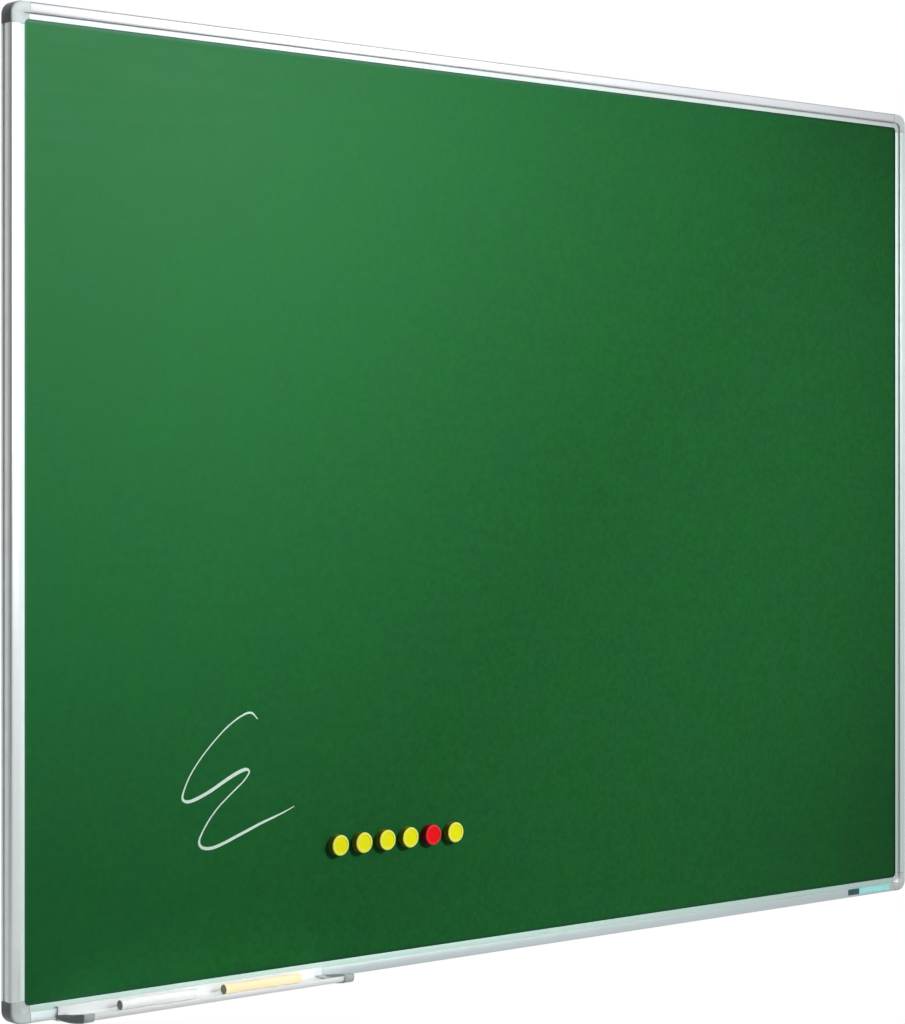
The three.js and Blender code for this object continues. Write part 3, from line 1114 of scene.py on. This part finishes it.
@dataclass
class BlankLabel:
    """A blank two-part foil label on the bottom rail, near its right end.

    Attributes:
        inset_mm: Gap between the label and the rail's right end.
        dark_mm: Length of the dark field at its left.
        pale_mm: Length of the pale field.
        height_mm: Height of the label.
        above_mm: Gap between the frame's lower edge and the label.
        foil_mm: Thickness of the foil.
        sunk_mm: How far its rear reaches into the rail's face.
        corner_mm: Radius of its corners.
        corner_facets: Facets round a corner.
        dark: Print of the dark field.
        pale: Print of the pale field.
    """

    inset_mm: float = 9.0
    dark_mm: float = 18.5
    pale_mm: float = 52.5
    height_mm: float = 6.6
    above_mm: float = 2.8
    foil_mm: float = 0.15
    sunk_mm: float = 0.02
    corner_mm: float = 0.6
    corner_facets: int = 4
    dark: Finish = PrintedFoil("dark_teal_label_foil", "#1d4a52", 0.4, second_colour="#2c6169")
    pale: Finish = PrintedFoil("pale_cyan_label_foil", "#92f4f2", 0.34, metallic=0.8, second_colour="#d8ffff")

    def field(self, name: str, left: float, length: float, finish: Finish) -> bpy.types.Object:
        """Builds one field of the label.

        Args:
            name: The piece's name.
            left: Its left edge, in metres.
            length: Its length, in metres.
            finish: Its print.

        Returns:
            The field, stuck on the rail's face.
        """
        low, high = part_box("bottom_rail")
        radius = self.corner_mm * MM
        near, far = left + radius, left + length - radius
        lower = low.z + self.above_mm * MM
        upper = lower + self.height_mm * MM - radius
        lower += radius
        mesh = bmesh.new()
        corners = ((far, lower), (far, upper), (near, upper), (near, lower))
        outline = []
        for centre, start in zip(corners, (-90, 0, 90, 180)):
            outline += arc(centre, radius, start, 90, self.corner_facets)
        rings = [
            [mesh.verts.new((x, depth, z)) for x, z in outline]
            for depth in (low.y + self.sunk_mm * MM, low.y - self.foil_mm * MM)
        ]
        join_rings(mesh, rings, ends=True)
        piece = put_in_scene(name, mesh, [finish.build()])
        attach(piece, "board")
        return piece

    def build(self) -> None:
        """Builds both fields side by side."""
        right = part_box("bottom_rail")[1].x - self.inset_mm * MM
        pale_left = right - self.pale_mm * MM
        self.field("label_pale_field", pale_left, self.pale_mm * MM, self.pale)
        self.field("label_dark_field", pale_left - self.dark_mm * MM, self.dark_mm * MM, self.dark)


@dataclass
class WallHangers:
    """Four pressed steel hangers hooked into the rails' rear channel.

    Attributes:
        plate: Their finish.
        arris_mm: Their broken edge.
    """

    plate: Finish = ZincPlate("bright_zinc_plated_steel", "#bcbfba", 0.34, metallic=1.0)
    arris_mm: float = 0.15

    def build(self, workshop: Workshop) -> None:
        """Dresses the hangers."""
        names = [f"hanger_{row}_{side}" for row in ("top", "bottom") for side in ("left", "right")]
        workshop.dress(names, self.plate.build(), self.arris_mm)


@dataclass
class ChalkTray:
    """The extruded tray that slides along the bottom rail, with its two moulded end caps.

    Attributes:
        channel: Finish of the extrusion.
        cap: Finish of the end caps.
        channel_arris_mm: Broken edge of the extrusion.
        cap_arris_mm: Broken edge of the end caps.
    """

    channel: Finish = AnodisedAluminium(
        "anodised_aluminium_tray", "#f6f7f9", 0.6, metallic=0.4, second_colour="#e9ecec"
    )
    cap: Finish = MouldedPlastic(
        "light_grey_moulded_abs_cap", "#b4bfc2", 0.5, ior=1.54, specular=0.3, second_colour="#bec8ca"
    )
    channel_arris_mm: float = 0.15
    cap_arris_mm: float = 0.25

    def build(self, workshop: Workshop) -> None:
        """Dresses the channel and its caps."""
        workshop.dress(["tray_channel"], self.channel.build(), self.channel_arris_mm)
        caps = ["tray_end_cap_left", "tray_end_cap_right"]
        workshop.dress(caps, self.cap.build(), self.cap_arris_mm)


@dataclass
class ChalkStick:
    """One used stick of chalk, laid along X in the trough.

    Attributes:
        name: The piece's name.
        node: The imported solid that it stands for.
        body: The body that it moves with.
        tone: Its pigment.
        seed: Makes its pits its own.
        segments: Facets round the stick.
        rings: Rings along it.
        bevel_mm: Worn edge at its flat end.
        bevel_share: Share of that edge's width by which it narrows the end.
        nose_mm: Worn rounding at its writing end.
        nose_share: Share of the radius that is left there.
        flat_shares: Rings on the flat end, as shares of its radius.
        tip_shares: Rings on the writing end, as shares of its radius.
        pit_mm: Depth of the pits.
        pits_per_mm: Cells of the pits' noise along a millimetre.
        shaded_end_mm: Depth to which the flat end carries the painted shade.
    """

    name: str
    node: str
    body: str
    tone: ChalkTone
    seed: float
    segments: int = 64
    rings: int = 150
    bevel_mm: float = 0.9
    bevel_share: float = 0.6
    nose_mm: float = 3.2
    nose_share: float = 0.62
    flat_shares: tuple[float, ...] = (0.25, 0.5, 0.75, 0.92)
    tip_shares: tuple[float, ...] = (0.92, 0.7, 0.4)
    pit_mm: float = 0.1
    pits_per_mm: float = 0.9
    shaded_end_mm: float = 0.35

    def finishes(self) -> list[Finish]:
        """Returns the stick's finish and that of its flat end, darkened as painted shade."""
        tones = {
            # the last two colours of each are the flat end's painted shade
            ChalkTone.WHITE: ("#fdfdfb", "#e9eae8", "#a2a5a6", "#7f8383"),
            ChalkTone.YELLOW: ("#ffeecb", "#fbe2b4", "#98a088", "#777e62"),
        }
        colour, shade, end_shade, deep_end_shade = tones[self.tone]
        clean = PressedChalk(f"{self.tone.value}_pressed_chalk", colour, 0.95, ior=1.45, second_colour=shade)
        shaded_end = f"{self.tone.value}_chalk_painted_shade_end"
        return [clean, replace(clean, name=shaded_end, colour=end_shade, second_colour=deep_end_shade)]

    def radius_at(self, along: float, length: float, radius: float) -> float:
        """Returns the stick's worn radius.

        Args:
            along: Distance from the left end, in mm.
            length: Length of the stick, in mm.
            radius: Full radius, in mm.
        """
        left = min(along / self.bevel_mm, 1.0)
        right = min((length - along) / self.nose_mm, 1.0)
        flat_end = radius - self.bevel_mm * self.bevel_share * (1 - math.sqrt(1 - (1 - left) ** 2))
        nose = radius * (self.nose_share + (1 - self.nose_share) * math.sqrt(1 - (1 - right) ** 2))
        return min(flat_end, nose)

    def spot(self, along: float, full: float, turn: float, length: float, radius: float) -> Point:
        """Places one pitted point of the skin.

        Args:
            along: Distance from the left end, in mm.
            full: Radius without the pits, in mm.
            turn: Angle round the stick.
            length: Length of the stick, in mm.
            radius: Full radius of the stick, in mm.

        Returns:
            The point, in mm from the middle of the left end.
        """
        around = Vector((along, full * math.cos(turn), full * math.sin(turn)))
        rough = noise.fractal(around * self.pits_per_mm + Vector((0, 0, self.seed)), 0.9, 2.1, 3)
        pit = self.pit_mm * min(max(rough, 0.0), 1.0)
        inward = 0.35 * pit if 0 < along < length else pit
        shift = inward if along < length / 2 else -inward
        x = along + (shift if full < radius * 0.9 or along in (0.0, length) else 0.0)
        r = full - pit
        return min(max(x, 0.0), length), r * math.cos(turn), r * math.sin(turn)

    def build(self) -> bpy.types.Object:
        """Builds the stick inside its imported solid.

        Returns:
            The stick, resting where the solid rests.
        """
        low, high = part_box(self.node)
        middle = (low + high) / 2
        length, radius = (high.x - low.x) / MM, (high.z - low.z) / 2 / MM
        stations = [length * 0.5 * (1 - math.cos(math.pi * i / self.rings)) for i in range(self.rings + 1)]
        first, last = (self.radius_at(end, length, radius) for end in (0.0, length))
        hoops = [(0.0, first * share) for share in self.flat_shares]
        hoops += [(station, self.radius_at(station, length, radius)) for station in stations]
        hoops += [(length, last * share) for share in self.tip_shares]
        turns = [2 * math.pi * k / self.segments for k in range(self.segments)]
        mesh = bmesh.new()
        rings = [[mesh.verts.new((low.x, middle.y, middle.z))]]
        for along, full in hoops:
            spots = [self.spot(along, full, turn, length, radius) for turn in turns]
            rings.append(
                [mesh.verts.new((low.x + x * MM, middle.y + y * MM, middle.z + z * MM)) for x, y, z in spots]
            )
        rings.append([mesh.verts.new((high.x, middle.y, middle.z))])
        join_rings(mesh, rings)
        piece = put_in_scene(self.name, mesh, [finish.build() for finish in self.finishes()], 50.0)
        # painted shade: the flat left end takes the darker finish
        for face in piece.data.polygons:
            face.material_index = int(face.center.x < low.x + self.shaded_end_mm * MM)
        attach(piece, self.body)
        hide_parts(self.node)
        return piece


def magnet_skins(tone: str, face: Pair, rim: Pair, side: Pair) -> tuple[Finish, ...]:
    """Returns a magnet cap's finishes.

    Args:
        tone: The plastic's colour, in a word.
        face: Main and faded colour of the face.
        rim: The same for the rim, paler as a painted highlight.
        side: The same for the side, darker as painted shade.

    Returns:
        Finishes of the face, the rim and the side.
    """
    kinds = (
        (f"{tone}_gloss_polystyrene", face, 0.34, 0.1),
        (f"{tone}_polystyrene_painted_highlight_rim", rim, 0.4, 0.2),
        # painted shade: the side's finish is darker than the face
        (f"{tone}_polystyrene_painted_shade_side", side, 0.5, 0.2),
    )
    return tuple(
        GlossPlastic(name, colour, rough, ior=1.59, specular=shine, second_colour=pale_tone)
        for name, (colour, pale_tone), rough, shine in kinds
    )


@dataclass
class Magnets:
    """Six round magnets: glossy caps over ferrite discs.

    Attributes:
        red_number: The magnet that is red, counted from the left.
        count: How many there are.
        segments: Facets round a cap.
        rim_mm: Width of the rim round the face.
        rim_flat_mm: Gap from the face's edge to the flat top of the rim.
        dish_mm: Depth of the face below its rim.
        fillet_mm: Radius of the outer edge.
        rim_reach: Share of that radius, from the front, that counts as rim.
        foot_mm: Chamfer of the foot.
        pocket_gap_mm: Gap round the disc.
        disc_arris_mm: Broken edge of the disc.
        yellow: Finishes of a yellow cap's face, painted-highlight rim and painted-shade side.
        red: The same for the red cap.
        core: Finish of the discs.
    """

    red_number: int = 5
    count: int = 6
    segments: int = 96
    rim_mm: float = 1.3
    rim_flat_mm: float = 0.25
    dish_mm: float = 0.35
    fillet_mm: float = 1.0
    rim_reach: float = 0.6
    foot_mm: float = 0.4
    pocket_gap_mm: float = 0.2
    disc_arris_mm: float = 0.2
    yellow: tuple[Finish, ...] = magnet_skins(
        "yellow", ("#ffff0a", "#faf60a"), ("#fbff60", "#fcff8c"), ("#7c7c0c", "#a09f2a")
    )
    red: tuple[Finish, ...] = magnet_skins(
        "red", ("#ff0610", "#fa1018"), ("#f01c2c", "#ee3e4c"), ("#a80a1c", "#b41c30")
    )
    core: Finish = Ferrite("sintered_ferrite", "#2b2b2e", 0.7, ior=2.0)

    def profile(self, radius: float, height: float, pocket: float, depth: float) -> list[Pair]:
        """Returns the cap's section as radius and height above the board, in mm.

        Args:
            radius: Outer radius.
            height: Height of the cap.
            pocket: Radius of the disc's pocket.
            depth: Depth of the pocket.
        """
        inner = radius - self.fillet_mm - self.rim_mm
        face, dish, fillet = height - self.dish_mm, self.dish_mm, self.fillet_mm
        section = [(inner * share, face) for share in (0.0, 0.5, 0.85)]
        section += arc((inner - dish, height), dish, -90, 90, 4)
        section.append((inner + self.rim_flat_mm, height))
        section += arc((radius - fillet, height - fillet), fillet, 90, -90, 8)
        section += [(radius, height * 0.5), (radius, self.foot_mm), (radius - self.foot_mm, 0.0)]
        section += [(pocket, 0.0), (pocket, depth), (pocket * 0.5, depth), (0.0, depth)]
        return section

    def cap(self, number: int, skins: Sequence[bpy.types.Material]) -> bpy.types.Object:
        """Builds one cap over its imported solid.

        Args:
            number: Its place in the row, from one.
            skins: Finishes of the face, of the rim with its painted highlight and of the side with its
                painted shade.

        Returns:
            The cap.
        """
        node, body = f"magnet_cap_{number}", f"magnet_{number}"
        low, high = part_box(node)
        disc_low, disc_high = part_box(f"magnet_disc_{number}")
        middle = (low + high) / 2
        section = self.profile(
            (high.x - low.x) / 2 / MM,
            (high.y - low.y) / MM,
            (disc_high.x - disc_low.x) / 2 / MM + self.pocket_gap_mm,
            (disc_high.y - disc_low.y) / MM,
        )
        mesh = bmesh.new()
        rings = []
        for radius, height in section:
            count = self.segments if radius else 1
            turns = [2 * math.pi * k / count for k in range(count)]
            spots = [(radius * math.cos(turn), radius * math.sin(turn)) for turn in turns]
            depth = high.y - height * MM
            rings.append([mesh.verts.new((middle.x + x * MM, depth, middle.z + z * MM)) for x, z in spots])
        join_rings(mesh, rings)
        piece = put_in_scene(f"magnet_{number}_cap", mesh, skins, 28.0)
        rim_from = (high.x - low.x) / 2 - (self.fillet_mm + self.rim_mm) * MM
        rim_depth = low.y + self.rim_reach * self.fillet_mm * MM
        # painted highlight on the rim and painted shade on the side, chosen by face position
        for face in piece.data.polygons:
            if math.hypot(face.center.x - middle.x, face.center.z - middle.z) > rim_from:
                face.material_index = 1 if face.center.y < rim_depth else 2
        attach(piece, body)
        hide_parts(node)
        return piece

    def build(self, workshop: Workshop) -> None:
        """Builds the row of caps and dresses their discs."""
        yellow, red = ([finish.build() for finish in skins] for skins in (self.yellow, self.red))
        for number in range(1, self.count + 1):
            self.cap(number, red if number == self.red_number else yellow)
        discs = [f"magnet_disc_{number}" for number in range(1, self.count + 1)]
        workshop.dress(discs, self.core.build(), self.disc_arris_mm)


@dataclass(frozen=True)
class SpotHead:
    """A round lamp head with a soft-edged cone.

    Attributes:
        name: The lamp's name.
        place: Where it hangs, in metres.
        aim: The point that it faces, in metres.
        watts: Its power.
        cone: Opening of its cone, in degrees.
        radius: Radius of the head, in metres.
    """

    name: str
    place: Point
    aim: Point
    watts: float
    cone: float
    radius: float = 0.12


@dataclass(frozen=True)
class StripLight:
    """A narrow tube behind a honeycomb, which the camera doesn't see.

    Attributes:
        name: The lamp's name.
        place: Where it hangs, in metres.
        tilt: Its turn about X from facing down, in degrees.
        size: Length and width, in metres.
        spread: Opening of the honeycomb, in degrees.
        watts: Its power.
    """

    name: str
    place: Point
    tilt: float
    size: Pair
    spread: float
    watts: float


@dataclass
class Studio:
    """A white studio: two heads at the upper right, two strips, a faint fill and a light behind.

    Attributes:
        camera_place: Camera position, in metres.
        camera_turn: Its turn to the right of straight ahead, negative, in degrees.
        focal_mm: Lens on a 36 mm sensor across the longer side.
        sensor_mm: That sensor.
        horizon_shift: Vertical lens shift.
        sight: Nearest and farthest distance that the camera sees, in metres.
        heads: The key, which reaches the upper left most, and a narrow head for the rest.
        strips: A strip over the bottom rail and one that grazes the tray's front.
        back_place: Place of the light behind, in metres.
        back_aim: The point that it faces, in metres.
        back_watts: Its power.
        back_size: Its width, in metres.
        fill_side: Direction that the fill comes from.
        fill: Strength of the surround against and along that direction, where one is white.
        mirror: Shares of white that glossy surfaces mirror there from the front.
        dark_reach: Cosine to the fill's direction below which it is dark.
        behind_reach: Shares of the way into the wall over which the mirrored surround turns white.
        floor_drop: Gap between the board and the floor, in metres.
        floor_radius: Radius of the floor, in metres.
        floor_facets: Facets round it.
        floor_fade: Shares of that radius over which it fades into the surround.
        floor_glow: Share of white that the camera and mirroring surfaces see in it.
        floor_colour: Its own colour.
    """

    camera_place: Point = (-1.839, -2.0684, -0.40975)
    camera_turn: float = -40.4
    focal_mm: float = 95.03
    sensor_mm: float = 36.0
    horizon_shift: float = -0.0401
    sight: Pair = (0.05, 60.0)
    heads: tuple[SpotHead, ...] = (
        SpotHead("key", (1.05, -2.6, 0.7), (-2.5, 0.0, 0.702), 450.0, 78.0),
        SpotHead("key_core", (0.9, -2.5, 0.5), (0.1, 0.0, -0.41), 245.0, 33.0),
    )
    strips: tuple[StripLight, ...] = (
        StripLight("strip_above", (0.0, -0.1, -0.6), 10.7, (1.3, 0.03), 20.0, 0.16),
        StripLight("strip_before", (-0.425, -0.55, -0.893), 90.0, (0.38, 0.006), 2.6, 0.0032),
    )
    back_place: Point = (1.4, 2.2, 0.9)
    back_aim: Point = (0.0, 0.0, -0.45)
    back_watts: float = 25.0
    back_size: float = 1.2
    fill_side: Point = (0.7, -0.58, 0.42)
    fill: Pair = (0.03, 0.6)
    mirror: Pair = (0.12, 0.56)
    dark_reach: float = 0.1
    behind_reach: Pair = (0.1, 0.8)
    floor_drop: float = 0.9
    floor_radius: float = 3.0
    floor_facets: int = 96
    floor_fade: Pair = (0.55, 0.98)
    floor_glow: float = 0.8
    floor_colour: str = "#f4f4f2"

    def camera(self) -> None:
        """Places the camera at the photograph's viewing angle."""
        data = bpy.data.cameras.new("camera")
        data.lens = self.focal_mm
        data.sensor_width = self.sensor_mm
        data.shift_y = self.horizon_shift
        data.clip_start, data.clip_end = self.sight
        eye = bpy.data.objects.new("camera", data)
        eye.location = self.camera_place
        eye.rotation_euler = (math.pi / 2, 0.0, math.radians(self.camera_turn))
        bpy.context.scene.collection.objects.link(eye)
        bpy.context.scene.camera = eye

    def lamp(
        self, name: str, kind: str, watts: float, place: Point, aim: Optional[Point] = None
    ) -> bpy.types.Object:
        """Hangs a lamp and turns it to its aim.

        Args:
            name: The lamp's name.
            kind: Its Blender type.
            watts: Its power.
            place: Where it hangs, in metres.
            aim: The point that it faces, in metres, or nothing to leave it facing down.

        Returns:
            The lamp.
        """
        light = bpy.data.lights.new(name, kind)
        light.energy = watts
        lamp = bpy.data.objects.new(name, light)
        lamp.location = place
        if aim is not None:
            lamp.rotation_euler = (Vector(aim) - Vector(place)).to_track_quat("-Z", "Y").to_euler()
        bpy.context.scene.collection.objects.link(lamp)
        return lamp

    def lamps(self) -> None:
        """Hangs the two heads, the two strips and the light behind."""
        for head in self.heads:
            spot = self.lamp(head.name, "SPOT", head.watts, head.place, head.aim).data
            spot.spot_size = math.radians(head.cone)
            spot.spot_blend = 1.0
            spot.shadow_soft_size = head.radius
        for strip in self.strips:
            tube = self.lamp(strip.name, "AREA", strip.watts, strip.place)
            tube.rotation_euler = (math.radians(strip.tilt), 0.0, 0.0)
            tube.visible_camera = False
            tube.data.shape = "RECTANGLE"
            tube.data.size, tube.data.size_y = strip.size
            tube.data.spread = math.radians(strip.spread)
        self.lamp("back", "AREA", self.back_watts, self.back_place, self.back_aim).data.size = self.back_size

    def world(self) -> None:
        """Makes a white surround that lights the object only faintly."""
        world = bpy.data.worlds.new("white_studio")
        world.use_nodes = True
        tree = world.node_tree
        tree.nodes.clear()
        path = add_node(tree, "ShaderNodeLightPath").outputs
        way = add_node(tree, "ShaderNodeTexCoord").outputs["Generated"]
        depth = add_node(tree, "ShaderNodeSeparateXYZ", links={0: way}).outputs["Y"]
        facing, reach = dot(tree, way, self.fill_side), (self.dark_reach, 1.0)
        fill = map_range(tree, facing, self.fill, reach, "SMOOTHSTEP")
        front = map_range(tree, facing, self.mirror, reach, "SMOOTHSTEP")
        around = maths(tree, "MAXIMUM", map_range(tree, depth, WHOLE, self.behind_reach), front)
        mirrored = maths(tree, "MAXIMUM", path["Is Glossy Ray"], path["Is Transmission Ray"])
        shown = maths(tree, "MULTIPLY", mirrored, around)
        seen = maths(tree, "MAXIMUM", path["Is Camera Ray"], shown)
        dim = add_node(tree, "ShaderNodeBackground", values={"Color": WHITE}, links={"Strength": fill})
        white = add_node(tree, "ShaderNodeBackground", values={"Color": WHITE, "Strength": 1.0})
        mix = add_node(tree, "ShaderNodeMixShader", links={0: seen, 1: dim.outputs[0], 2: white.outputs[0]})
        add_node(tree, "ShaderNodeOutputWorld", links={"Surface": mix.outputs[0]})
        bpy.context.scene.world = world

    def floor(self) -> None:
        """Lays a pale round floor that fades into the white surround at its edge."""
        mesh = bmesh.new()
        level = CAD_BOX[0][2] - self.floor_drop
        bmesh.ops.create_circle(mesh, cap_ends=True, radius=self.floor_radius, segments=self.floor_facets)
        for vert in mesh.verts:
            vert.co.z = level
        material = bpy.data.materials.new("pale_matt_floor")
        material.use_nodes = True
        tree = material.node_tree
        tree.nodes.clear()
        place = add_node(tree, "ShaderNodeTexCoord").outputs["Object"]
        length = add_node(tree, "ShaderNodeVectorMath", {"operation": "LENGTH"}, links={0: place})
        start, end = self.floor_fade
        band = (self.floor_radius * start, self.floor_radius * end)
        fade = map_range(tree, length.outputs["Value"], WHOLE, band)
        matt = add_node(tree, "ShaderNodeBsdfDiffuse", values={"Color": linear(self.floor_colour)})
        path = add_node(tree, "ShaderNodeLightPath").outputs
        shown = maths(tree, "MAXIMUM", path["Is Camera Ray"], path["Is Glossy Ray"])
        share = maths(tree, "MAXIMUM", fade, maths(tree, "MULTIPLY", shown, self.floor_glow))
        glow = add_node(tree, "ShaderNodeEmission", values={"Color": WHITE}, links={"Strength": shown})
        mix = add_node(tree, "ShaderNodeMixShader", links={0: share, 1: matt.outputs[0], 2: glow.outputs[0]})
        add_node(tree, "ShaderNodeOutputMaterial", links={"Surface": mix.outputs[0]})
        floor = put_in_scene("floor", mesh, [material])

    def build(self) -> None:
        """Sets up camera, lamps, surround and floor."""
        self.camera()
        self.lamps()
        self.world()
        self.floor()
        bpy.context.scene.view_settings.view_transform = "Standard"


def main() -> None:
    """Builds and dresses the chalkboard in order, then the studio."""
    logging.basicConfig(level=logging.INFO, format="%(name)s: %(message)s")
    workshop = Workshop()
    Panel().build(workshop)
    ChalkFlourish().build()
    RailFrame().build(workshop)
    BlankLabel().build()
    WallHangers().build(workshop)
    ChalkTray().build(workshop)
    ChalkStick("chalk_stick_white", "chalk_white", "white_stick", ChalkTone.WHITE, 4.0).build()
    ChalkStick("chalk_stick_yellow", "chalk_yellow", "yellow_stick", ChalkTone.YELLOW, 19.0).build()
    Magnets().build(workshop)
    Studio().build()


if __name__ == "__main__":
    main()
